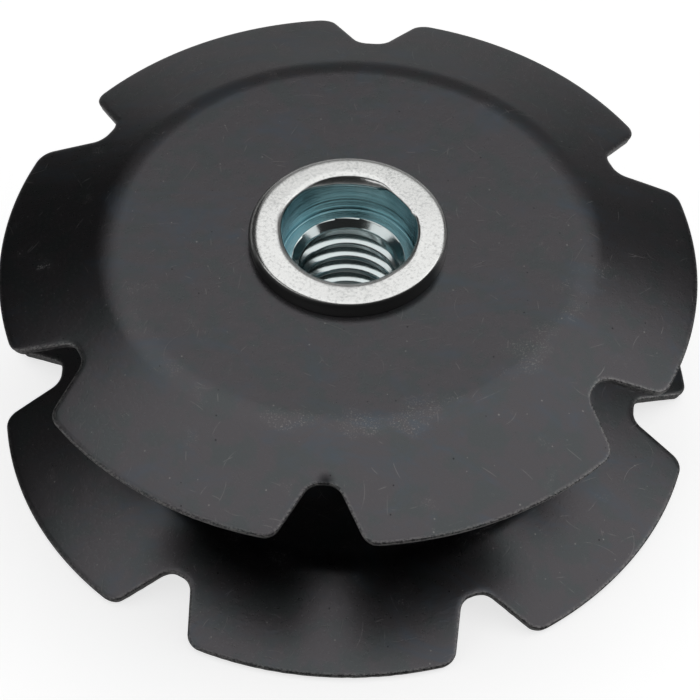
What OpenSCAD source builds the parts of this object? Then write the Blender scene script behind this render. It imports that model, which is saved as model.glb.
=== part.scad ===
// Star nut for a threadless steerer tube: two dished star washers of spring steel,
// riveted to the ends of one threaded bush. Millimetres, +Z up along the bush.
// It stands on the lobe tips of the lower washer, leading (convex) side up.

/* [Star washers] */
// Diameter across the lobes
rim_d = 36; // [30:0.1:44]
// Thickness of the spring steel sheet
sheet_t = 0.5; // [0.3:0.05:0.7]
// Diameter of the flat plateau, where its face begins to bend down
plateau_d = 23.3; // [18:0.1:26]
// Radius of the bend, on the upper face
bend_r = 3.6; // [1.5:0.1:6]
// Slope of the skirt below level, in degrees
skirt_slope = 23; // [12:0.1:35]
// Distance from one washer to the same face of the other
washer_spacing = 10.7; // [8:0.1:14]

/* [Notches] */
// Notches in each washer
notch_count = 6; // [4:1:8]
// Depth of a notch in from the rim, along the skirt
notch_depth = 3.1; // [2:0.05:4]
// Angle between the two flanks of a notch
notch_angle = 59; // [40:1:80]
// Width of the flat floor of a notch, between its two fillets
notch_floor_w = 0.3; // [0.1:0.02:1.5]
// Radius of the fillets in the notch root
notch_root_r = 0.92; // [0.3:0.05:1]
// Radius on the corners of the lobes
lobe_corner_r = 0.93; // [0.4:0.05:1.2]

/* [Threaded bush] */
// Bore at the crests of the thread, for an M6 bolt
thread_bore_d = 5; // [4.1:0.1:6.2]
// Step from the thread's bore out to the counterbore at each end
counterbore_step = 1; // [0.6:0.05:1.4]
// Depth of each counterbore, from the face of its flange
counterbore_depth = 2.45; // [1.8:0.05:3.2]
// Width of the countersink that leads from the floor of each counterbore into the thread
countersink_w = 0.4; // [0.1:0.05:0.5]
// Angle of that countersink, to the axis
countersink_angle = 45; // [30:1:60]
// Wall of the necks that pass through the washers, round the counterbores
neck_wall = 0.7; // [0.5:0.05:1.2]
// Clearance between a neck and the hole in its washer, all round
neck_clearance = 0.05; // [0.02:0.01:0.1]
// Width of the shoulders that the body bears on the washers with
shoulder_w = 0.8; // [0.5:0.05:2]
// Width of the rolled flanges, out from the necks
flange_w = 0.85; // [0.6:0.05:1.5]
// Thickness of the rolled flanges
flange_t = 1; // [0.8:0.05:1.4]
// Radius on the outer edge of a flange
flange_edge_r = 0.45; // [0.2:0.05:0.6]
// Radius on the lip of each counterbore
lip_r = 0.35; // [0.1:0.05:0.4]

/* [Hidden] */
$fn = 96;
// Straight steps in each arc of the washer's section and notches
arc_steps = 8;

// Points along an arc, between two angles
function arc(centre, radius, from, to) =
    [for (k = [0 : arc_steps]) let (turn = from + (to - from) * k / arc_steps)
        centre + radius * [cos(turn), sin(turn)]];

// Radii of the bush, each one step out from the last
thread_bore_r = thread_bore_d / 2;
counterbore_r = thread_bore_r + counterbore_step;
neck_r = counterbore_r + neck_wall;
body_r = neck_r + shoulder_w;
flange_r = neck_r + flange_w;

// Washer section, with x out from the axis and y up from the plateau's upper face
rim_r = rim_d / 2;
washer_hole_r = neck_r + neck_clearance;
bend_centre = [plateau_d / 2, -bend_r];
skirt_normal = [sin(skirt_slope), cos(skirt_slope)];
// Drop from the plateau's upper face to the rim's upper edge
skirt_drop = bend_r * (1 - skirt_normal.y)
           + (rim_r - bend_centre.x - bend_r * skirt_normal.x) * tan(skirt_slope);

// Heights above the surface that the lobe tips stand on
trailing_face_z = skirt_drop + sheet_t * skirt_normal.y;
leading_face_z = trailing_face_z + washer_spacing;
// The trailing washer is turned half of this, so its lobes lie under the leading one's notches
notch_pitch = 360 / notch_count;

// Bush, whose two ends are mirror images about its middle
body_length = washer_spacing - sheet_t;
bush_length = washer_spacing + sheet_t + 2 * flange_t;
bush_middle_z = (leading_face_z + trailing_face_z - sheet_t) / 2;
countersink_depth = countersink_w / tan(countersink_angle);

// Notch outline, in the plane of the skirt: x runs down the slope from the rim, y across.
// It runs round the root's fillet, along the flank and round the corner of the lobe.
flank_turn = notch_angle / 2;
flank = [cos(flank_turn), sin(flank_turn)];
into_notch = [flank.y, -flank.x];
root_centre = [notch_root_r - notch_depth, notch_floor_w / 2];
// The skirt is a cone, so in that plane the rim is a circle about this point
rim_bend_r = rim_r / skirt_normal.y;
rim_centre = [-rim_bend_r, 0];
// The corner's arc runs this far past the rim, so that it crosses the rim cleanly
corner_overrun = 0.02;
corner_reach = rim_bend_r + corner_overrun - lobe_corner_r;
corner_line = root_centre - (notch_root_r + lobe_corner_r) * into_notch - rim_centre;
corner_step = sqrt(pow(corner_line * flank, 2) - corner_line * corner_line + pow(corner_reach, 2))
            - corner_line * flank;
corner_centre = rim_centre + corner_line + corner_step * flank;
corner_turn = atan2(corner_centre.y - rim_centre.y, corner_centre.x - rim_centre.x);
punch_overrun = 2 * sheet_t;
half_notch = concat(
    arc(root_centre, notch_root_r, 180, 90 + flank_turn),
    arc(corner_centre, lobe_corner_r, flank_turn - 90, corner_turn),
    [corner_centre + (lobe_corner_r + punch_overrun) * [cos(corner_turn), sin(corner_turn)]]);

// Punch for one notch, square to the skirt, at the rim on the +X side
module notch_punch() {
    translate([rim_r, 0, -skirt_drop])
        rotate([0, skirt_slope, 0])
            translate([0, 0, -sheet_t - punch_overrun])
                linear_extrude(sheet_t + 2 * punch_overrun)
                    polygon(concat(half_notch,
                        [for (k = [len(half_notch) - 1 : -1 : 0]) [half_notch[k].x, -half_notch[k].y]]));
}

// Section of the dished sheet, out along its upper face and back along its lower one
module washer_section() {
    polygon(concat(
        [[washer_hole_r, 0]],
        arc(bend_centre, bend_r, 90, 90 - skirt_slope),
        [[rim_r, -skirt_drop], [rim_r, -skirt_drop] - sheet_t * skirt_normal],
        arc(bend_centre, bend_r - sheet_t, 90 - skirt_slope, 90),
        [[washer_hole_r, -sheet_t]]));
}

// Star washer with its plateau's upper face at z = 0 and its first notch at the given turn
module star_washer(turn) {
    rotate(turn)
        difference() {
            rotate_extrude() washer_section();
            for (k = [0 : notch_count - 1])
                rotate(k * notch_pitch) notch_punch();
        }
}

module leading_star_washer() {
    color("#3a3a3d")
        translate([0, 0, leading_face_z]) star_washer(notch_pitch / 2);
}

module trailing_star_washer() {
    color("#3a3a3d")
        translate([0, 0, trailing_face_z]) star_washer(0);
}

// Corner of a section to be taken off by a radius, with its point at the origin
module corner_round(radius) {
    difference() {
        square(radius);
        translate([radius, radius]) circle(radius);
    }
}

// Section of the bush's upper half, from its middle at y = 0
module bush_half_section() {
    end_y = bush_length / 2;
    thread_end_y = end_y - counterbore_depth - countersink_depth;
    difference() {
        union() {
            square([body_r, body_length / 2]);
            square([neck_r, end_y]);
            translate([0, end_y - flange_t]) square([flange_r, flange_t]);
        }
        polygon([[0, 0], [thread_bore_r, 0], [thread_bore_r, thread_end_y],
                 [thread_bore_r + countersink_w, end_y - counterbore_depth],
                 [counterbore_r, end_y - counterbore_depth], [counterbore_r, end_y], [0, end_y]]);
        translate([flange_r, end_y]) rotate(180) corner_round(flange_edge_r);
        translate([counterbore_r, end_y]) rotate(-90) corner_round(lip_r);
    }
}

module threaded_bush() {
    color("#c9ccc9")
        translate([0, 0, bush_middle_z])
            rotate_extrude() {
                bush_half_section();
                mirror([0, 1]) bush_half_section();
            }
}

leading_star_washer();
trailing_star_washer();
threaded_bush();
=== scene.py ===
"""Star nut: two dished star washers of black spring steel, riveted to a zinc-plated threaded bush.

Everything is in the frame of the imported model, +Z up along the bush. The mesh and finish functions
work in millimetres, which are scaled once, when a mesh is made. The studio is in metres.
"""

import math

import bmesh
import bpy
import numpy as np
from bpy.props import FloatProperty, FloatVectorProperty, IntProperty, PointerProperty
from mathutils import Matrix, Quaternion, Vector


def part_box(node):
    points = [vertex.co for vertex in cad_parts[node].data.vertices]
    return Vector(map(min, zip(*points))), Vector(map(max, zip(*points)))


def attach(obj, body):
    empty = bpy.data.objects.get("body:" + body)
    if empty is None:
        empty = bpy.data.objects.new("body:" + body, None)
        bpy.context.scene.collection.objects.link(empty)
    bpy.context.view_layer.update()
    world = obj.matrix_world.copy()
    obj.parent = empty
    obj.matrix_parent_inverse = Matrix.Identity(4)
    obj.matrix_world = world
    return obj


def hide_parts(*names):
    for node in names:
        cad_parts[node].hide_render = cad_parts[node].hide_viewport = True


bl_info = {
    "name": "Star Nut",
    "version": (1, 0, 0),
    "blender": (4, 5, 0),
    "location": "3D View > Sidebar > Star Nut",
    "description": "Star washers, threaded bush and studio of a star nut",
    "category": "Object",
}

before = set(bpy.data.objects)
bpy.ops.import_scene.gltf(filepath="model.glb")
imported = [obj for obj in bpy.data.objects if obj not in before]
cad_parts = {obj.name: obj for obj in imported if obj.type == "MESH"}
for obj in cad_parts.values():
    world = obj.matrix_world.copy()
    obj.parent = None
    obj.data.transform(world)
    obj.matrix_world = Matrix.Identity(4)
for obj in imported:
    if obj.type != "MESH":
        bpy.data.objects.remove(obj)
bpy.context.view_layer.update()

MM = 0.001
LEADING = "leading_star_washer"
TRAILING = "trailing_star_washer"
BUSH = "threaded_bush"


# ---------------------------------------------------------------------------------------------
# Sizes and colours
# ---------------------------------------------------------------------------------------------


def length(name, description, millimetres):
    """A length property whose default is given in millimetres."""
    return FloatProperty(
        name=name,
        description=description,
        default=millimetres * MM,
        min=0.0,
        precision=5,
        subtype="DISTANCE",
        unit="LENGTH",
    )


def point(name, description, millimetres):
    """A property for a point whose default is given in millimetres."""
    return FloatVectorProperty(
        name=name,
        description=description,
        default=[value * MM for value in millimetres],
        size=3,
        precision=5,
        subtype="XYZ",
        unit="LENGTH",
    )


def angle(name, description, degrees):
    """An angle property whose default is given in degrees."""
    return FloatProperty(
        name=name,
        description=description,
        default=math.radians(degrees),
        subtype="ANGLE",
        unit="ROTATION",
    )


def colour(name, description, value):
    """A linear colour property."""
    return FloatVectorProperty(
        name=name,
        description=description,
        default=value,
        size=3,
        min=0.0,
        max=1.0,
        subtype="COLOR",
    )


def brightness(name, description, value):
    """A brightness property, where 1 is white."""
    return FloatProperty(name=name, description=description, default=value, min=0.0)


class StarWasherSettings(bpy.types.PropertyGroup):
    """Sizes and finish of both star washers."""

    rim: length("Rim", "Radius across the lobes", 18.0)
    sheet: length("Sheet", "Thickness of the spring steel sheet", 0.5)
    plateau: length("Plateau", "Radius at which the upper face begins to bend", 11.65)
    bend: length("Bend", "Radius of the bend on the upper face", 3.6)
    slope: angle("Slope", "Slope of the skirt below level", 23)
    hole: length("Hole", "Radius of the hole round the neck of the bush", 4.25)
    notches: IntProperty(name="Notches", description="Notches in each washer", default=6, min=3)
    notch_depth: length("Notch depth", "Depth of a notch, along the skirt", 3.1)
    notch_angle: angle("Notch angle", "Angle between the flanks of a notch", 59)
    notch_floor: length("Notch floor", "Width of the flat floor of a notch", 0.3)
    notch_root: length("Notch root", "Radius of the fillets in the root of a notch", 0.92)
    lobe_corner: length("Lobe corner", "Radius on the corners of the lobes", 0.93)
    edge_roll: length("Edge roll", "Width that the punch draws down round the upper edge", 0.30)
    nick: point("Nick", "Place of a nick that the punch left by a notch", (0.05, -15.0, 12.44))
    black: colour("Black", "Oxide finish of the sheet", (0.090, 0.086, 0.091))
    teal: colour("Teal", "Tone that the oxide drifts to", (0.078, 0.086, 0.088))
    blue: colour("Blue", "Blue clouds in the oxide", (0.080, 0.094, 0.112))
    bare: colour("Bare", "Steel that shows in scratches and on edges", (0.38, 0.37, 0.36))
    # Painted shade: the bottoms of the small dents and of the nick are darkened to this colour
    pit_shade: colour("Pit", "Bottom of the small dents and of the nick", (0.012, 0.012, 0.014))


class BushSettings(bpy.types.PropertyGroup):
    """Sizes and finish of the threaded bush."""

    bore: length("Bore", "Radius at the crests of the thread", 2.5)
    pitch: length("Pitch", "Pitch of the thread", 1.0)
    first_crest: length("First crest", "Height of a crest's middle on the +X side", 0.144)
    counterbore: length("Counterbore", "Radius of the counterbores", 3.5)
    counterbore_depth: length("Counterbore depth", "Depth below the flange's face", 2.45)
    countersink: length("Countersink", "Width of the countersink into the thread", 0.4)
    neck: length("Neck", "Radius of the necks through the washers", 4.2)
    body: length("Body", "Radius of the body between the washers", 5.0)
    flange: length("Flange", "Radius of the rolled flanges", 5.05)
    flange_thickness: length("Flange thickness", "Thickness of the rolled flanges", 1.0)
    zinc: colour("Zinc", "Zinc plating", (0.82, 0.825, 0.81))
    passivate: colour("Passivate", "Blue passivate left inside the bore", (0.30, 0.50, 0.54))
    # Painted shade: the counterbores' walls are darkened to this deeper blue
    wall_shade: colour("Deep", "Thick passivate on the counterbores' walls", (0.10, 0.24, 0.29))
    stain: colour("Stain", "Greyer patches on the flanges", (0.35, 0.36, 0.36))
    # Painted shade: the flanges' sides, outer edges and lips are darkened to this colour
    dull_and_shade: colour("Dull", "Plating where it is rubbed dull", (0.10, 0.10, 0.10))


class StudioSettings(bpy.types.PropertyGroup):
    """Camera, floor and lamps."""

    elevation: angle("Elevation", "Elevation of the camera", 49.5)
    azimuth: angle("Azimuth", "Turn of the camera round the object", 4.1)
    roll: angle("Roll", "Roll of the camera", 0.63)
    target: point("Target", "Point that the camera looks at", (0.51, -5.27, 11.16))
    distance: length("Distance", "From the camera to the point it looks at", 297.0)
    lens: FloatProperty(name="Lens", description="Focal length", default=300.24, unit="CAMERA")
    floor: colour("Floor", "Pale floor", (0.50, 0.50, 0.50))
    glow: brightness("Glow", "Glow of the floor for the camera, so that it is white", 0.74)
    mirrored: brightness("Mirrored", "Glow of the floor in what metal mirrors", 0.10)
    key: brightness("Key", "Brightness of the overhead softbox", 1.0)
    side: brightness("Side", "Brightness of the side softboxes", 0.9)
    back: brightness("Back", "Brightness of the softbox behind", 0.20)
    low: brightness("Low", "Brightness of the strip low behind", 0.28)
    ambient: brightness("Ambient", "Brightness of the room", 0.02)


# ---------------------------------------------------------------------------------------------
# Meshes
# ---------------------------------------------------------------------------------------------


def mesh_from(name, points, faces, layers):
    """A smooth-shaded mesh from arrays of points, in millimetres, and four-cornered faces. layers
    are (name, values) with a value for each point, kept as attributes."""
    mesh = bpy.data.meshes.new(name)
    mesh.vertices.add(len(points))
    mesh.vertices.foreach_set("co", (points * MM).astype(np.float32).ravel())
    mesh.loops.add(faces.size)
    mesh.loops.foreach_set("vertex_index", faces.astype(np.int32).ravel())
    mesh.polygons.add(len(faces))
    mesh.polygons.foreach_set("loop_start", np.arange(0, faces.size, 4, dtype=np.int32))
    mesh.polygons.foreach_set("use_smooth", np.ones(len(faces), bool))
    for label, values in layers:
        layer = mesh.attributes.new(label, "FLOAT", "POINT")
        layer.data.foreach_set("value", values.astype(np.float32).ravel())
    mesh.update(calc_edges=True)
    mesh.validate()
    return mesh


def grid_mesh(name, points, layers, climb=None):
    """A closed ring of closed sections: points[k, j] is ring k round the section and column j round
    the axis, both of which close on themselves. Every four neighbours make one face, which looks
    outwards if the section runs anticlockwise seen along the columns. climb is (first, count, lead)
    where count rings from the first one follow a thread, so that after a full turn each joins the
    ring lead before."""
    rows, columns = points.shape[:2]
    index = np.arange(rows * columns).reshape(rows, columns)
    right = np.roll(index, -1, 1)
    if climb:
        first, count, lead = climb
        joined = first + np.clip(np.arange(count) - lead, 0, None)
        right[first : first + count, -1] = index[joined, 0]
    faces = np.stack([index, right, np.roll(right, -1, 0), np.roll(index, -1, 0)], -1)
    return mesh_from(name, points.reshape(-1, 3), faces.reshape(-1, 4), layers)


def merged(mesh, distance=0.001):
    """The mesh with points nearer than a distance in millimetres made one, and no empty faces."""
    work = bmesh.new()
    work.from_mesh(mesh)
    bmesh.ops.remove_doubles(work, verts=work.verts, dist=distance * MM)
    bmesh.ops.dissolve_degenerate(work, edges=work.edges, dist=distance * MM)
    work.to_mesh(mesh)
    work.free()
    return mesh


def placed(name, mesh, material):
    """An object at the origin, of one mesh and one material."""
    mesh.materials.append(material)
    made = bpy.data.objects.new(name, mesh)
    bpy.context.scene.collection.objects.link(made)
    return made


def piece(name, mesh, material, node):
    """An object that stands for a CAD node, rides with the part and has its finish from a slot."""
    made = placed(name, mesh, material)
    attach(made, "root")
    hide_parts(node)


def arc(centre, radius, start, end, steps):
    """Points centre + radius (cos t, sin t), with t in equal steps between two angles."""
    turn = np.linspace(start, end, steps + 1)
    return np.stack([centre[0] + radius * np.cos(turn), centre[1] + radius * np.sin(turn)], 1)


def ripple(plan, seed, wavelength, waves=6):
    """The mean of plane sine waves over points seen from above, from -1 to 1. Their directions,
    lengths and phases are drawn from a seed."""
    rng = np.random.default_rng(seed)
    heading = rng.uniform(0, 2 * math.pi, waves)
    number = 2 * math.pi / (wavelength * rng.uniform(0.6, 1.6, waves))
    phase = rng.uniform(0, 2 * math.pi, waves)
    along = plan[..., 0, None] * np.cos(heading) + plan[..., 1, None] * np.sin(heading)
    return np.sin(along * number + phase).mean(-1)


def bent_face(s, radius):
    """Drop below the plateau and slope of the washer's upper face at a radius. It is level out to
    the plateau's edge, then falls round an arc by bend (1 - cos a), where sin a is the way past
    that edge over bend, and then down the skirt by tan(slope) for each millimetre."""
    plateau, bend = s.plateau / MM, s.bend / MM
    sine = np.clip((radius - plateau) / bend, 0, math.sin(s.slope))
    skirt = np.clip(radius - plateau - bend * math.sin(s.slope), 0, None)
    return bend * (1 - np.sqrt(1 - sine**2)) + skirt * math.tan(s.slope), np.arcsin(sine)


def notch_side(s):
    """Half of a notch in the plane of the skirt, x down the slope from the rim and y across: round
    the root's fillet, up the flank and round the lobe's corner. In that plane the rim is a circle
    of radius rim / cos(slope), and the corner's centre lies its own radius from it and from the
    flank."""
    half = s.notch_angle / 2
    root, corner = s.notch_root / MM, s.lobe_corner / MM
    flank = np.array([math.cos(half), math.sin(half)])
    into = np.array([flank[1], -flank[0]])
    reach = s.rim / MM / math.cos(s.slope)
    root_centre = np.array([root - s.notch_depth / MM, s.notch_floor / MM / 2])
    line = root_centre - (root + corner) * into + [reach, 0]
    run = line @ flank
    step = math.sqrt(run**2 - line @ line + (reach - corner) ** 2) - run
    corner_centre = line + step * flank - [reach, 0]
    end = math.atan2(corner_centre[1], corner_centre[0] + reach)
    fillet = arc(root_centre, root, math.pi, math.pi / 2 + half, 10)
    corner_arc = arc(corner_centre, corner, half - math.pi / 2, end, 12)
    share = np.linspace(0, 1, 9)[1:-1, None]
    straight = fillet[-1] * (1 - share) + corner_arc[0] * share
    return np.concatenate([fillet, straight, corner_arc])


def star_outline(s, first):
    """The upper edge of a washer, seen from above, anticlockwise, with a notch at the first turn. A
    notch is punched square to the skirt, so each of its points slides along the skirt's normal
    until it meets the cone. Each round finds that slide from the last one's radius."""
    rim, side = s.rim / MM, notch_side(s)
    cosine, sine, tangent = math.cos(s.slope), math.sin(s.slope), math.tan(s.slope)
    slide = np.zeros(len(side))
    for _ in range(8):
        reach = np.hypot(rim + side[:, 0] * cosine + slide * sine, side[:, 1])
        slide = (side[:, 0] * sine + (rim - reach) * tangent) / cosine
    x = rim + side[:, 0] * cosine + slide * sine
    radius = np.minimum(np.hypot(x, side[:, 1]), rim)
    turn = np.arctan2(side[:, 1], x)
    pitch = 2 * math.pi / s.notches
    rim_turn = np.linspace(turn[-1], pitch / 2, 22)[1:]
    half_turn = np.concatenate([turn, rim_turn])
    half_radius = np.concatenate([radius, np.full(len(rim_turn), rim)])
    turns = np.concatenate([half_turn, pitch - half_turn[-2::-1]])[:-1]
    radii = np.concatenate([half_radius, half_radius[-2::-1]])[:-1]
    turns = (turns[None, :] + pitch * np.arange(s.notches)[:, None]).ravel() + first
    radii = np.tile(radii, s.notches)
    return np.stack([radii * np.cos(turns), radii * np.sin(turns)], 1)


def washer_rings(s, first, seed):
    """The rings of a washer's section: the plan of each, its depth below the upper face and how far
    it is sheared, from 0 to 1. They run out over the upper face, down the sheared edge, back under
    the lower face and up the hole. A ring is a circle near the hole, the outline drawn in by its
    inset near the edge, and a blend of the two between."""
    sheet, plateau, hole = s.sheet / MM, s.plateau / MM, s.hole / MM
    outline = star_outline(s, first)
    tangent = np.roll(outline, -1, 0) - np.roll(outline, 1, 0)
    inward = np.stack([-tangent[:, 1], tangent[:, 0]], 1)
    inward /= np.linalg.norm(inward, axis=1, keepdims=True)

    # The hole's upper edge is broken by the depths of the first two circles
    bend_end = plateau + s.bend / MM * math.sin(s.slope)
    circles = np.concatenate([
        hole + np.array([0.0, 0.02, 0.06, 0.3, 0.8]),
        np.linspace(hole + 1.5, plateau, 9),
        np.linspace(plateau, bend_end, 15)[1:],
        bend_end + np.array([0.4, 0.9]),
    ])
    circle_depth = np.zeros(len(circles))
    circle_depth[:2] = 0.05, 0.015

    # The rolled edge is a quarter of an ellipse, roll (1 - sin t) in and roll / 4 (1 - cos t) down
    roll = s.edge_roll / MM
    quarter = np.linspace(0, math.pi / 2, 6)
    roll_inset = roll * (1 - np.sin(quarter))
    roll_depth = roll / 4 * (1 - np.cos(quarter))

    # The wall below it is burnished for half the sheet, then torn and ragged
    wall_inset = np.array([0.0, 0.008, 0.03, 0.045, 0.05, 0.075])
    wall_depth = np.array([0.36, 0.44, 0.56, 0.86, 0.96, 1.0]) * sheet
    ragged = 1 + 0.35 * ripple(outline, seed + 9, 0.5)[None, :, None]

    edge_in = outline + roll * inward
    turn = np.arctan2(edge_in[:, 1], edge_in[:, 0])
    spoke = np.stack([np.cos(turn), np.sin(turn)], 1)
    rings = circles[:, None, None] * spoke
    share = np.linspace(0, 1, 7)[1:-1, None, None]
    blends = rings[-1] * (1 - share) + edge_in * share
    edges = outline + roll_inset[:, None, None] * inward
    walls = outline + wall_inset[:, None, None] * ragged * inward

    upper = np.concatenate([rings, blends, edges])
    lower = np.concatenate([walls[-1:], blends[::-1], rings[:2:-1]])
    hole_wall = rings[[1, 0, 0, 0]]
    plan = np.concatenate([upper, walls[:-1], lower, hole_wall])
    depth = np.concatenate([
        circle_depth, np.zeros(len(blends)), roll_depth,
        wall_depth[:-1],
        np.full(len(lower), sheet),
        np.array([1.0, 0.94, 0.6, 0.3]) * sheet,
    ])
    # Shearing fades in over the last rings of the rolled edge, and is full on the wall
    sheared = np.zeros(len(plan))
    sheared[len(upper) - 4 : len(upper)] = 0.3, 0.7, 0.9, 1.0
    sheared[len(upper) : len(upper) + len(walls)] = 1.0
    return plan, depth[:, None], sheared[:, None]


def star_washer_mesh(name, s, face_height, first, seed):
    """A dished star washer as a closed sheet. A point lies at its depth below the upper face, along
    that face's normal: sin(slope) times the depth in from its plan, and cos(slope) times the depth
    down from the face. The press leaves low waves, which grow from 7 to 15 mm out and die away over
    the last 3 mm to the rim."""
    plan, depth, sheared = washer_rings(s, first, seed)
    radius = np.linalg.norm(plan, axis=2)
    drop, slope = bent_face(s, radius)
    wave_height, wave_length = 0.03, 11.0
    swell = np.clip((radius - 7) / 8, 0, 1) ** 2 * np.clip((s.rim / MM - radius) / 3, 0, 1)
    waves = wave_height * swell * ripple(plan, seed, wave_length)
    flat = plan - (np.sin(slope) * depth)[..., None] * (plan / radius[..., None])
    height = face_height - drop - np.cos(slope) * depth + waves
    points = np.concatenate([flat, height[..., None]], -1)
    sheared = np.broadcast_to(sheared, radius.shape)
    return grid_mesh(name, points[::-1], [("sheared", sheared[::-1])])


# How the rivet press left the upper end of the bush, and where its plating is darkened as painted
# shade. Each table holds values at some turns round the axis, in degrees from +X.
FLANGE_TABLES = {
    # Millimetres by which the side and the foot stand out past the flange's radius
    "side": {0: 0.0, 90: 0.0, 180: 0.09, 270: -0.07},
    "foot": {0: 0.02, 90: 0.0, 180: -0.02, 270: 0.10},
    # Millimetres by which the face is lower than the flange's highest point
    "sunk": {20: 0.0, 90: 0.0, 160: 0.0, 270: 0.24},
    # Radii in millimetres of the outer edge and of the counterbore's lip
    "edge": {0: 0.28, 60: 0.38, 100: 0.40, 150: 0.48, 180: 0.54, 225: 0.34, 270: 0.20,
             320: 0.20},
    "lip": {0: 0.22, 19: 0.16, 22: 0.07, 50: 0.06, 70: 0.36, 90: 0.40, 112: 0.36, 132: 0.24,
            180: 0.34, 225: 0.46, 270: 0.52, 320: 0.42},
    # Height in millimetres of the steep chamfer that is let into the lip
    "chamfer": {58: 0.0, 74: 0.16, 90: 0.20, 108: 0.18, 140: 0.0, 240: 0.0},
    # Millimetres by which the lip is squeezed in
    "squeeze": {0: 0.0, 18: 0.0, 24: 0.12, 45: 0.18, 64: 0.12, 90: 0.12, 112: 0.08, 135: 0.0,
                160: 0.0, 195: 0.11, 230: 0.16, 270: 0.22, 310: 0.15, 340: 0.03},
    # Painted shade on the side, the outer edge and the lip: how far the plating is darkened to the
    # dull colour, down to -1
    "dull_and_shade": {150: 0.0, 186: 0.0, 212: -1.0, 330: -1.0, 354: 0.0, 20: 0.0},
    "edge_shade": {0: -0.30, 90: -0.30, 200: -0.34, 228: 0.0, 320: 0.0},
    "lip_shade": {140: 0.0, 175: -0.34, 270: -0.30, 330: -0.34, 0: -0.15, 20: 0.0},
    # Plating of the counterbore's wall: how far its passivate blue is darkened as painted shade
    "wall_shade": {10: 0.7, 40: 0.4, 65: 0.0, 115: 0.0, 135: 0.5, 160: 0.9, 178: 0.9, 230: 0.0,
             320: 0.0},
}

# Width of the chamfer for its height, which makes it 60 degrees steep
CHAMFER_WIDTH = 0.58


def around(turn, table):
    """A value that changes round the axis, from a table of {degrees: value}. Between two entries it
    goes by 3 q^2 - 2 q^3, where q is the share of the way."""
    at = np.array(sorted(table))
    value = np.array([table[k] for k in sorted(table)], float)
    at = np.concatenate([at - 360, at, at + 360])
    value = np.tile(value, 3)
    degrees = np.degrees(turn) % 360
    step = np.clip(np.searchsorted(at, degrees, side="right") - 1, 0, len(at) - 2)
    share = (degrees - at[step]) / (at[step + 1] - at[step])
    share = share * share * (3 - 2 * share)
    return value[step] * (1 - share) + value[step + 1] * share


def flange_profile(s, turn, height):
    """Section of the upper end of the bush, as radius, height and plating for each turn: out under
    the flange, up its side, over its slightly domed face, round the lip and down the counterbore to
    the countersink. Edge and lip are arcs, whose radii vary round the axis as FLANGE_TABLES says: a
    point of the edge at t lies edge (1 - cos t) in and edge (1 - sin t) down, and one of the lip
    lip (1 - sin t) out and lip (1 - cos t) down. height is the highest point of the flange. plating
    is 0 on plain zinc, 1 where it is blue, more where the blue of the counterbore's wall is darkened
    as painted shade, and down to -1 where painted shade darkens the plating and makes it duller."""
    bore, neck = s.counterbore / MM, s.neck / MM
    at = {name: around(turn, table) for name, table in FLANGE_TABLES.items()}
    side, foot_r = s.flange / MM + at["side"], s.flange / MM + at["foot"]
    foot, face = height - s.flange_thickness / MM, height - at["sunk"]
    edge, lip, chamfer = at["edge"], at["lip"], at["chamfer"]
    squeezed = bore - at["squeeze"]
    dull_and_shade, edge_shade, lip_shade, wall_shade = at["dull_and_shade"], at["edge_shade"], at["lip_shade"], 1 + at["wall_shade"]
    dome, fillet = 0.005, 0.03

    # Under the flange and up its side, which is darkened as painted shade
    rows = [
        (neck, foot, 0),
        (foot_r - 0.5, foot, 0),
        (foot_r - 0.04, foot, 0),
        (foot_r, foot + 0.01, dull_and_shade),
        (foot_r - 0.01, foot + 0.05, dull_and_shade),
    ]
    side_top = face - dome - edge
    for share in (0.35, 0.7):
        rows.append((foot_r + (side - foot_r) * share, foot + (side_top - foot) * share, dull_and_shade))

    # Round the outer edge, darkened as painted shade where it begins to turn level, and in over the
    # face
    for t in np.linspace(0, math.pi / 2, 10):
        across = side - edge * (1 - math.cos(t))
        plating = np.minimum(dull_and_shade, edge_shade) if t < 0.7 else edge_shade * max(0.0, (1.4 - t) / 0.7)
        rows.append((across, face - dome - edge * (1 - math.sin(t)), plating))
    inner = squeezed + lip + CHAMFER_WIDTH * chamfer
    outer = side - edge
    for share in np.linspace(0, 1, 9)[1:]:
        rows.append((outer + (inner - outer) * share, face - dome * (1 - share) ** 2, 0))

    # Round the lip, whose arc is parted by the chamfer where it is as steep, and darkened as painted
    # shade until it turns blue
    steep = math.pi / 3
    above, below = np.linspace(0, steep, 8)[1:], np.linspace(steep, math.pi / 2, 4)
    for passed, t in [(0, t) for t in above] + [(1, t) for t in below]:
        across = squeezed + lip * (1 - math.sin(t)) + CHAMFER_WIDTH * chamfer * (1 - passed)
        drop = lip * (1 - math.cos(t)) + chamfer * passed
        blued = min(max(t - 1.15, 0) * 3, 1)
        rows.append((across, face - drop, blued if blued else lip_shade * min(t * 2, 1)))

    # Down the counterbore's wall, which is squeezed in over its upper half, and round to its floor,
    # with its blue darkened as painted shade, most in the fillet
    wall_top, floor = face - lip - chamfer, height - s.counterbore_depth / MM
    for share in np.linspace(0, 1, 9)[1:]:
        wall = squeezed + (bore - squeezed) * min(1.0, share * 2.0)
        rows.append((wall, wall_top * (1 - share) + (floor + fillet) * share, wall_shade))
    for t in np.linspace(0, math.pi / 2, 5)[1:]:
        across, rise = bore - fillet * (1 - math.cos(t)), fillet * (1 - math.sin(t))
        rows.append((across, floor + rise, wall_shade + 0.3))

    # A tool mark round the floor, and the rim of the countersink
    top = s.bore / MM + s.countersink / MM
    rows += [
        (bore - 0.07, floor - 0.012, 0.8),
        (bore - 0.12, floor - 0.012, 0.7),
        (bore - 0.16, floor, 0.6),
        ((top + bore) / 2, floor, 0.6),
        (top + 0.05, floor, 0.6),
        (top + 0.015, floor - 0.004, 0.4),
    ]
    return (np.stack([row[k] + 0 * turn for row in rows]) for k in range(3))


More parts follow.
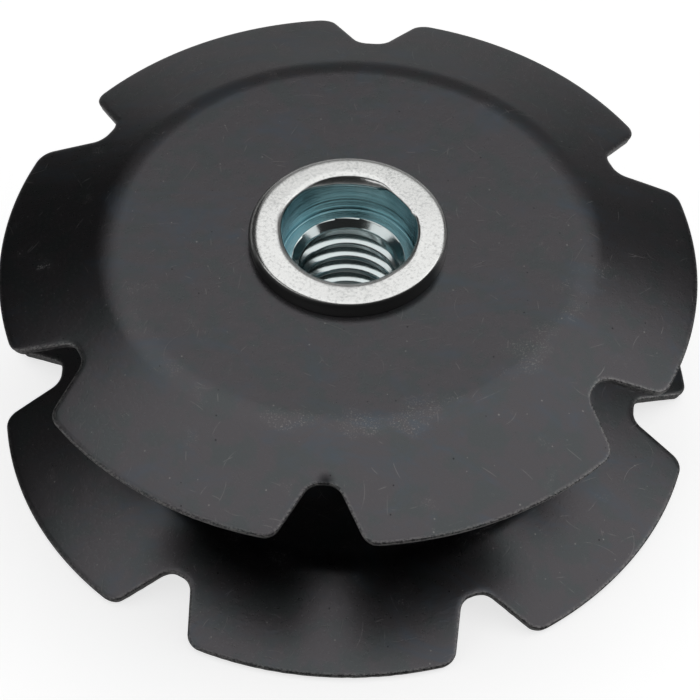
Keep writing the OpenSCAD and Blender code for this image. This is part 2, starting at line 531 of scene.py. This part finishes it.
# Rows over one pitch of the thread, as shares of it from the middle of a crest. They are close
# together where a flank meets its crest or root.
THREAD_MARKS = np.array([0, 0.07, 0.118, 0.132, 0.18, 0.24, 0.30, 0.36, 0.41, 0.4375, 0.47, 0.53,
                         0.5625, 0.59, 0.65, 0.72, 0.79, 0.868, 0.882, 0.93])

# Depth of the thread's groove, half the width of its root and how far it takes to run out, each as
# a share of the pitch, and the angle of its flanks to the axis
GROOVE_DEPTH, HALF_ROOT, RUN_OUT, FLANK_ANGLE = 0.5413, 1 / 16, 0.45, math.radians(60)


def thread_rows(s, turn, low, high):
    """Radius and height of the threaded wall between two heights, in rows that climb with the
    thread, by a pitch a turn, so that its edges stay crisp: crest, flank, root and flank of a 60
    degree V, right-handed. The groove is deepest over its root and loses tan(60) of depth for each
    millimetre past it. The wall is the largest of the bore, the groove and the countersink at
    either end. Towards the countersinks the groove's depth falls evenly to nothing."""
    pitch, bore, sink = s.pitch / MM, s.bore / MM, s.countersink / MM
    first_crest = s.first_crest / MM
    turns = math.ceil((high - low) / pitch) + 3
    start = first_crest + math.floor((low - 1.5 * pitch - first_crest) / pitch) * pitch
    base = (np.arange(turns + 1)[:, None] + THREAD_MARKS[None, :]).ravel() * pitch
    off_root = np.abs(base % pitch - pitch / 2)
    fall = np.clip(off_root - HALF_ROOT * pitch, 0, None) * math.tan(FLANK_ANGLE)
    groove = np.clip(GROOVE_DEPTH * pitch - fall, 0, None)
    climb = pitch * turn / (2 * math.pi)
    root = start + (np.floor(base / pitch + 1e-9)[:, None] + 0.5) * pitch + climb
    depth = np.clip((np.minimum(root - low, high - root) - sink) / (RUN_OUT * pitch), 0, 1)
    z = np.clip(start + base[:, None] + climb, low, high)
    inside = np.minimum(z - low, high - z)
    radius = bore + np.maximum(groove[:, None] * depth, sink - inside)
    return np.minimum(radius, bore + sink + inside), z


def bush_mesh(name, s, sheet, low, high, columns=240):
    """The bush as one closed ring of sections: up the body, over the upper end, down the thread and
    under the lower end. All but the thread is mirrored about the middle, where a height z becomes
    low + high - z."""
    turn = np.arange(columns) * 2 * math.pi / columns
    radius, z, plating = flange_profile(s, turn, high)
    floor = high - s.counterbore_depth / MM
    thread_r, thread_z = thread_rows(s, turn, low + high - floor, floor)

    body, neck = s.body / MM, s.neck / MM
    shoulder, middle = high - s.flange_thickness / MM - sheet, (low + high) / 2
    chamfer_width, chamfer_height = 0.25, 0.2
    half_r = np.array([body, body, body - chamfer_width, neck])
    half_z = np.array([middle + 1, shoulder - chamfer_height, shoulder, shoulder])
    plain = np.zeros((2 * len(half_r), columns))
    body_r = np.concatenate([half_r[::-1], half_r])[:, None] + plain
    body_z = np.concatenate([low + high - half_z[::-1], half_z])[:, None] + plain

    rows_r = np.concatenate([body_r, radius, thread_r[::-1], radius[::-1]])
    rows_z = np.concatenate([body_z, z, thread_z[::-1], low + high - z[::-1]])
    threaded = np.full(thread_r.shape, 0.3)
    plating = np.concatenate([plain, plating, threaded, plating[::-1]])
    points = np.stack([rows_r * np.cos(turn), rows_r * np.sin(turn), rows_z], -1)
    climb = (len(body_r) + len(radius), len(thread_r), len(THREAD_MARKS))
    return merged(grid_mesh(name, points, [("plating", plating)], climb))


# ---------------------------------------------------------------------------------------------
# Finishes
# ---------------------------------------------------------------------------------------------


class Value:
    """A node socket in an expression. Arithmetic on it adds Math nodes to its tree."""

    def __init__(self, finish, socket):
        self.finish, self.socket = finish, socket

    def maths(self, operation, first, second=0.0):
        """A Math node on two numbers, each of them given or linked."""
        return self.finish.add("ShaderNodeMath", {"operation": operation}, {0: first, 1: second})

    def __add__(self, other):
        return self.maths("ADD", self, other)

    __radd__ = __add__

    def __mul__(self, other):
        return self.maths("MULTIPLY", self, other)

    __rmul__ = __mul__

    def __sub__(self, other):
        return self.maths("SUBTRACT", self, other)

    def __rsub__(self, other):
        return self.maths("SUBTRACT", other, self)

    def __truediv__(self, other):
        return self.maths("DIVIDE", self, other)

    def __rtruediv__(self, other):
        return self.maths("DIVIDE", other, self)

    def __gt__(self, other):
        return self.maths("GREATER_THAN", self, other)

    def __lt__(self, other):
        return self.maths("LESS_THAN", self, other)

    def __abs__(self):
        return self.maths("ABSOLUTE", self)

    def cosine(self):
        return self.maths("COSINE", self)

    def sine(self):
        return self.maths("SINE", self)

    def most(self, other):
        return self.maths("MAXIMUM", self, other)


class Finish:
    """The node tree of one material, or of the room."""

    def __init__(self, owner):
        self.owner = owner
        owner.use_nodes = True
        self.tree = owner.node_tree
        self.tree.nodes.clear()

    def add(self, kind, settings=None, inputs=None, out=0):
        """A node of a type, with its settings made first and then its sockets given values or
        links. Gives one of its outputs as a Value, or nothing where out is None."""
        node = self.tree.nodes.new(kind)
        for key, value in (settings or {}).items():
            setattr(node, key, value)
        for key, value in (inputs or {}).items():
            slot = node.inputs[key]
            if isinstance(value, Value):
                self.tree.links.new(value.socket, slot)
            else:
                slot.default_value = (*value, 1.0) if slot.type == "RGBA" else value
        return None if out is None else Value(self, node.outputs[out])

    def end(self, surface, kind="ShaderNodeOutputMaterial"):
        """Ends the tree in a surface, and gives the material or room that it belongs to."""
        self.add(kind, None, {"Surface": surface}, None)
        return self.owner

    def metal(self, tone, rough, bump):
        """Ends the tree in metal of a colour and a roughness."""
        inputs = {"Base Color": tone, "Metallic": 1.0, "Roughness": rough, "Normal": bump}
        return self.end(self.add("ShaderNodeBsdfPrincipled", None, inputs))

    def bump(self, strength, height):
        """A bumped normal, where a height of 1 stands 20 micrometres proud."""
        inputs = {"Strength": strength, "Distance": 0.00002, "Height": height}
        return self.add("ShaderNodeBump", None, inputs)

    def attribute(self, name):
        """A number that the mesh has for each point."""
        return self.add("ShaderNodeAttribute", {"attribute_name": name}, None, "Fac")

    def ray(self, kind):
        """1 for light rays of a kind, and 0 for the others."""
        return self.add("ShaderNodeLightPath", None, None, kind)

    def mix(self, share, first, second):
        """The first colour where the share is 0, the second where it is 1."""
        settings = {"data_type": "RGBA"}
        return self.add("ShaderNodeMix", settings, {0: share, 6: first, 7: second}, 2)

    def band(self, value, low, high, first=0.0, second=1.0):
        """A smooth step from the first to the second as the value goes from low to high."""
        inputs = {0: value, 1: low, 2: high, 3: first, 4: second}
        return self.add("ShaderNodeMapRange", {"interpolation_type": "SMOOTHSTEP"}, inputs)

    def vector(self, operation, inputs, out=0):
        """A Vector Math node."""
        return self.add("ShaderNodeVectorMath", {"operation": operation}, inputs, out)

    def part(self, vector, axis):
        """The x, y or z of a vector, as axis is 0, 1 or 2."""
        return self.add("ShaderNodeSeparateXYZ", None, {0: vector}, axis)

    def across(self, vector):
        """Length of a vector seen from above, the root of x squared plus y squared."""
        flat = self.vector("MULTIPLY", {0: vector, 1: (1, 1, 0)})
        return self.vector("LENGTH", {0: flat}, "Value")

    def shift(self, vector, scale=(1, 1, 1), turn=(0, 0, 0), by=(0, 0, 0)):
        """The vector scaled, turned and moved."""
        inputs = {"Vector": vector, "Location": by, "Rotation": turn, "Scale": scale}
        return self.add("ShaderNodeMapping", None, inputs)

    def millimetres(self):
        """The object's own coordinates in millimetres."""
        place = self.add("ShaderNodeTexCoord", None, None, "Object")
        return self.vector("SCALE", {0: place, 3: 1 / MM})

    def noise(self, vector, size, detail=2.0, rough=0.5, distortion=0.0):
        """Noise from 0 to 1 about as coarse as a size in millimetres."""
        inputs = {"Vector": vector, "Scale": 1 / size, "Detail": detail, "Roughness": rough,
                  "Distortion": distortion}
        return self.add("ShaderNodeTexNoise", None, inputs)

    def cells(self, place, size):
        """Cells of a size in millimetres, seen from above: the vector from the middle of the cell,
        and its three random values."""
        settings = {"voronoi_dimensions": "2D"}
        inputs = {"Vector": place, "Scale": 1 / size}
        middle = self.add("ShaderNodeTexVoronoi", settings, inputs, "Position")
        tint = self.add("ShaderNodeTexVoronoi", settings, inputs, "Color")
        chances = [self.add("ShaderNodeSeparateColor", None, {0: tint}, k) for k in range(3)]
        return self.vector("SUBTRACT", {0: place, 1: middle}), chances

    def specks(self, place, size, share, radius):
        """Small specks of random size, in a share of the cells of a size in millimetres."""
        away, chances = self.cells(place, size)
        far = self.across(away) / (chances[1] + 0.2)
        return self.band(far, radius, radius * 0.4) * (chances[0] > 1 - share)

    def scratches(self, place, size, share, reach, width):
        """Curved scratches, one in a share of the cells of a size in millimetres. In the cell's own
        axes, turned at random, a scratch is where y is near a bend times x squared and x is within
        its reach."""
        away, chances = self.cells(place, size)
        x, y = self.part(away, 0), self.part(away, 1)
        turn, bend = chances[0] * math.pi, (chances[1] - 0.5) * 0.9
        cosine, sine = turn.cosine(), turn.sine()
        along = x * cosine + y * sine
        off = y * cosine - x * sine - along * along * bend
        line = self.band(abs(off), width, 0.0) * self.band(abs(along), reach, reach * 0.5)
        return line * (chances[2] > 1 - share)


def black_steel(name, s):
    """Oxide-blackened spring steel: a semi-gloss charcoal whose tone drifts to teal and, in clouds,
    to blue, with fine grain, scuffs along the bend, scratches, dust, bare, torn sheared edges, and
    small dents and a nick darkened as painted shade. The attribute sheared says where the sheared
    edges are."""
    f = Finish(bpy.data.materials.new(name))
    place = f.millimetres()
    black, teal, blue, bare = tuple(s.black), tuple(s.teal), tuple(s.blue), tuple(s.bare)
    grain = f.noise(place, 0.12, detail=3.0, rough=0.6)
    mottle = f.noise(place, 0.8, detail=3.0, rough=0.65)
    on_bend = f.band(abs(f.across(place) - s.plateau / MM - 0.4), 1.5, 0.2)

    # Drift to teal, and clouds of blue that lean to the bend
    drift = f.band(f.noise(place, 1.7, detail=3.0, rough=0.6), 0.45, 0.62)
    smear = f.shift(place, turn=(0, 0, 0.6), scale=(1.0, 1.7, 1.0))
    cloudy = f.noise(smear, 5.0, detail=7.0, rough=0.72, distortion=0.8)
    clouds = f.band(cloudy + on_bend * 0.04, 0.50, 0.76)
    tone = f.mix(clouds, f.mix(drift * 0.8, black, teal), blue)

    # Scuffs: glittering clusters, more of them along the front of the bend
    glitter = f.band(f.noise(place, 0.085, rough=0.6), 0.54, 0.68)
    front = f.band(f.part(place, 1), 3.0, -5.0)
    clusters = f.noise(place, 2.4, detail=3.0, rough=0.65) + on_bend * front * 0.15
    scuffs = (glitter + 0.06) * f.band(clusters, 0.60, 0.80)

    # Scratches of three sizes, each by its cells, their share, its reach and its width
    lines = (f.scratches(place, 2.1, 0.50, 0.55, 0.030)
             .most(f.scratches(f.shift(place, by=(3, 8, 0)), 3.4, 0.45, 1.1, 0.026))
             .most(f.scratches(f.shift(place, by=(9, 4, 0)), 1.3, 0.30, 0.30, 0.035)))
    lines = lines * f.band(mottle, 0.38, 0.60)

    dust = f.specks(place, 0.7, 0.08, 0.055) * (grain * 0.8)
    # Small dents, and the nick, are painted dark as painted shade in their bottoms
    dent_shade = f.specks(f.shift(place, by=(4, 1, 0)), 1.5, 0.22, 0.055)
    away = f.vector("DISTANCE", {0: place, 1: [value / MM for value in s.nick]}, "Value")
    nick = f.band(away, 0.60, 0.0)
    sheared = f.attribute("sheared")
    torn = f.noise(place, 0.13, rough=0.75)
    edge = sheared * f.band(torn, 0.40, 0.58)

    marks = (lines * 0.26).most(dust).most(scuffs * 0.40).most(edge * 0.6)
    # Painted shade: the dents and the nick are darkened to the pit colour
    tone = f.mix(dent_shade.most(nick) * 0.8, f.mix(marks, tone, bare), tuple(s.pit_shade))
    rough = 0.245 + grain * 0.08 + clouds * 0.03 + marks * 0.2
    height = grain * 0.5 + torn * sheared * 4.0 + scuffs - lines * 0.5 + mottle * 0.9 - nick * 6.0
    return f.metal(tone, rough, f.bump(0.35, height))


def zinc_plate(name, s):
    """Zinc plating: satin, slightly pitted and stained on the rolled flanges, smoother inside, with
    turning rings on the counterbores' walls. The attribute plating is 0 on plain zinc, 1 where it
    is blue, more where the blue is darkened as painted shade on the counterbores' walls, and down to
    -1 where painted shade darkens and dulls the plating."""
    f = Finish(bpy.data.materials.new(name))
    place = f.millimetres()
    zinc, passivate, stain = tuple(s.zinc), tuple(s.passivate), tuple(s.stain)
    plating = f.attribute("plating")
    blueness, dull_and_shade = plating.most(0.0), (plating * -1.0).most(0.0)
    outside = f.band(blueness, 0.25, 0.05)
    wall = f.band(blueness, 0.75, 0.95)
    cloudy = f.noise(place, 1.2, detail=3.0)
    pits = f.noise(place, 0.16, detail=3.0, rough=0.65)
    rings = f.add("ShaderNodeTexNoise", {"noise_dimensions": "1D"},
                  {"W": f.part(place, 2), "Scale": 7.0, "Detail": 4.0})

    tone = f.mix(blueness * (0.75 + cloudy * 0.5), zinc, passivate)
    tone = f.mix(outside * f.band(pits + cloudy * 0.3, 0.60, 0.90) * 0.45, tone, stain)
    # Painted shade: the flanges' sides, outer edges and lips are darkened to the dull colour
    tone = f.mix(dull_and_shade, tone, tuple(s.dull_and_shade))
    # Painted shade: the counterbores' walls are darkened to the deeper blue
    tone = f.mix(plating - 1.0, tone, tuple(s.wall_shade))
    rough = 0.09 + outside * 0.07 + pits * 0.08 + dull_and_shade * 0.35
    height = pits * (0.10 + outside * 0.30) + rings * wall * 5.0 + cloudy * 0.1
    return f.metal(tone, rough, f.bump(0.4, height))


def studio_white(name, s):
    """A pale diffuse surface that keeps shadows, with a glow added for the camera, so that unshaded
    floor is white, and a weaker one for what metal mirrors."""
    f = Finish(bpy.data.materials.new(name))
    diffuse = f.add("ShaderNodeBsdfDiffuse", None, {"Color": tuple(s.floor)})
    mirror = f.ray("Is Glossy Ray").most(f.ray("Is Transmission Ray"))
    strength = (f.ray("Is Camera Ray") * s.glow).most(mirror * s.mirrored)
    light = f.add("ShaderNodeEmission", None, {"Color": (1.0, 1.0, 1.0), "Strength": strength})
    return f.end(f.add("ShaderNodeAddShader", None, {0: diffuse, 1: light}))


# ---------------------------------------------------------------------------------------------
# Studio, in metres
# ---------------------------------------------------------------------------------------------


def stage_piece(name, points, faces, material):
    """A piece of the studio from a few corners, which isn't part of the star nut."""
    mesh = bpy.data.meshes.new(name)
    mesh.from_pydata(points, [], faces)
    placed(name, mesh, material)


def build_floor(s):
    """A square floor, and a low round backdrop that stands on it."""
    white = studio_white("studio_white", s)
    half, reach, rise, sides = 1.5, 1.3, 0.16, 64
    corners = [(-half, -half, 0), (half, -half, 0), (half, half, 0), (-half, half, 0)]
    stage_piece("floor", corners, [(0, 1, 2, 3)], white)
    turn = np.linspace(0, 2 * math.pi, sides + 1)[:-1]
    ring = np.stack([reach * np.cos(turn), reach * np.sin(turn)], 1).tolist()
    wall = [(*corner, height) for height in (0.0, rise) for corner in ring]
    faces = [(k, sides + k, sides + (k + 1) % sides, (k + 1) % sides) for k in range(sides)]
    stage_piece("backdrop", wall, faces, white)


def softbox(name, radiance, shape, centre, towards, size, turn=0.0):
    """A softbox of a brightness and a shape, which faces a point. Its power is pi times its area
    times its brightness. The camera doesn't see it, so it never hides the object in another
    view."""
    light = bpy.data.lights.new(name, "AREA")
    light.shape, light.size, light.size_y = shape, size[0], size[1]
    area = size[0] * size[1] * (math.pi / 4 if shape == "ELLIPSE" else 1)
    light.energy = math.pi * area * radiance
    made = bpy.data.objects.new(name, light)
    made.location = centre
    made.rotation_mode = "QUATERNION"
    facing = (Vector(centre) - Vector(towards)).to_track_quat("Z", "Y")
    made.rotation_quaternion = facing @ Quaternion((0, 0, 1), turn)
    made.visible_camera = False
    bpy.context.scene.collection.objects.link(made)


def build_softboxes(s):
    """An oval softbox overhead, a dim one and a low strip behind, and one at each side."""
    over, below, tilt = (0.37, 0.285, 1.0), (0.37, 0.285, 0), math.radians(8)
    softbox("softbox_overhead", s.key, "ELLIPSE", over, below, (2.50, 1.64), tilt)
    softbox("softbox_back", s.back, "RECTANGLE", (0.05, 1.7, 0.8), (0, 0, 0), (1.8, 1.1))
    softbox("softbox_low", s.low, "RECTANGLE", (0.0, 1.2, 0.12), (0, 0, 0.12), (1.5, 0.24))
    reach, rise, tall = 0.965, 0.55, 0.4
    for name, degrees, width in (("softbox_left", -60, 1.3), ("softbox_right", 96, 1.0)):
        turn = math.radians(degrees)
        place = (reach * math.sin(turn), -reach * math.cos(turn), rise)
        softbox(name, s.side, "RECTANGLE", place, (0, 0, 0), (width, tall))


def build_room(s, scene):
    """A dim room that the camera sees as white."""
    f = Finish(bpy.data.worlds.new("studio_room"))
    strength = f.band(f.ray("Is Camera Ray"), 0.0, 1.0, s.ambient, 1.0)
    room = f.add("ShaderNodeBackground", None, {"Color": (1.0, 1.0, 1.0), "Strength": strength})
    scene.world = f.end(room, "ShaderNodeOutputWorld")


def build_camera(s, scene):
    """A camera that looks at its target from an azimuth and an elevation, then rolled."""
    turn, rise = s.azimuth, s.elevation
    flat = math.cos(rise)
    back = Vector((math.sin(turn) * flat, -math.cos(turn) * flat, math.sin(rise)))
    level = Vector((math.cos(turn), math.sin(turn), 0))
    right = math.cos(s.roll) * level + math.sin(s.roll) * back.cross(level)
    pose = Matrix((right, back.cross(right), back)).transposed().to_4x4()
    pose.translation = Vector(s.target) + s.distance * back
    camera = bpy.data.objects.new("camera", bpy.data.cameras.new("camera"))
    camera.matrix_world = pose
    camera.data.lens, camera.data.sensor_width = s.lens, 36.0
    camera.data.clip_start, camera.data.clip_end = 0.01, 10.0
    scene.collection.objects.link(camera)
    scene.camera = camera


# ---------------------------------------------------------------------------------------------
# Operators
# ---------------------------------------------------------------------------------------------


class STARNUT_OT_washers(bpy.types.Operator):
    """Build both star washers from one stamping"""

    bl_idname = "starnut.washers"
    bl_label = "Star washers"

    def execute(self, context):
        s = context.scene.star_washer
        finish = black_steel("black_spring_steel", s)
        for node, first, seed in ((LEADING, math.pi / s.notches, 11), (TRAILING, 0.0, 23)):
            name, face_height = node + "_sheet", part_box(node)[1].z / MM
            mesh = star_washer_mesh(name, s, face_height, first, seed)
            piece(name, mesh, finish, node)
        return {"FINISHED"}


class STARNUT_OT_bush(bpy.types.Operator):
    """Build the bush with its thread and rolled flanges"""

    bl_idname = "starnut.bush"
    bl_label = "Threaded bush"

    def execute(self, context):
        s = context.scene.star_bush
        sheet = context.scene.star_washer.sheet / MM
        low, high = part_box(BUSH)
        mesh = bush_mesh("threaded_bush_turned", s, sheet, low.z / MM, high.z / MM)
        finish = zinc_plate("zinc_plated_steel", s)
        piece("threaded_bush_turned", mesh, finish, BUSH)
        return {"FINISHED"}


class STARNUT_OT_stage(bpy.types.Operator):
    """Build the floor, backdrop, softboxes, room and camera"""

    bl_idname = "starnut.stage"
    bl_label = "Stage"

    def execute(self, context):
        scene = context.scene
        build_floor(scene.star_studio)
        build_softboxes(scene.star_studio)
        build_room(scene.star_studio, scene)
        build_camera(scene.star_studio, scene)
        scene.view_settings.view_transform = "Standard"
        return {"FINISHED"}


class STARNUT_PT_panel(bpy.types.Panel):
    """Lists the pieces of the star nut"""

    bl_idname = "STARNUT_PT_panel"
    bl_label = "Star Nut"
    bl_space_type = "VIEW_3D"
    bl_region_type = "UI"
    bl_category = "Star Nut"

    def draw(self, context):
        scene = context.scene
        for settings, operator in (
            (scene.star_washer, "starnut.washers"),
            (scene.star_bush, "starnut.bush"),
            (scene.star_studio, "starnut.stage"),
        ):
            box = self.layout.box()
            box.operator(operator)
            for key in settings.bl_rna.properties.keys():
                if key not in {"rna_type", "name"}:
                    box.prop(settings, key)


CLASSES = (
    StarWasherSettings,
    BushSettings,
    StudioSettings,
    STARNUT_OT_washers,
    STARNUT_OT_bush,
    STARNUT_OT_stage,
    STARNUT_PT_panel,
)


def register():
    for cls in CLASSES:
        bpy.utils.register_class(cls)
    bpy.types.Scene.star_washer = PointerProperty(type=StarWasherSettings)
    bpy.types.Scene.star_bush = PointerProperty(type=BushSettings)
    bpy.types.Scene.star_studio = PointerProperty(type=StudioSettings)


def unregister():
    del bpy.types.Scene.star_studio
    del bpy.types.Scene.star_bush
    del bpy.types.Scene.star_washer
    for cls in reversed(CLASSES):
        bpy.utils.unregister_class(cls)


def main():
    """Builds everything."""
    register()
    bpy.ops.starnut.washers()
    bpy.ops.starnut.bush()
    bpy.ops.starnut.stage()


if __name__ == "__main__":
    main()
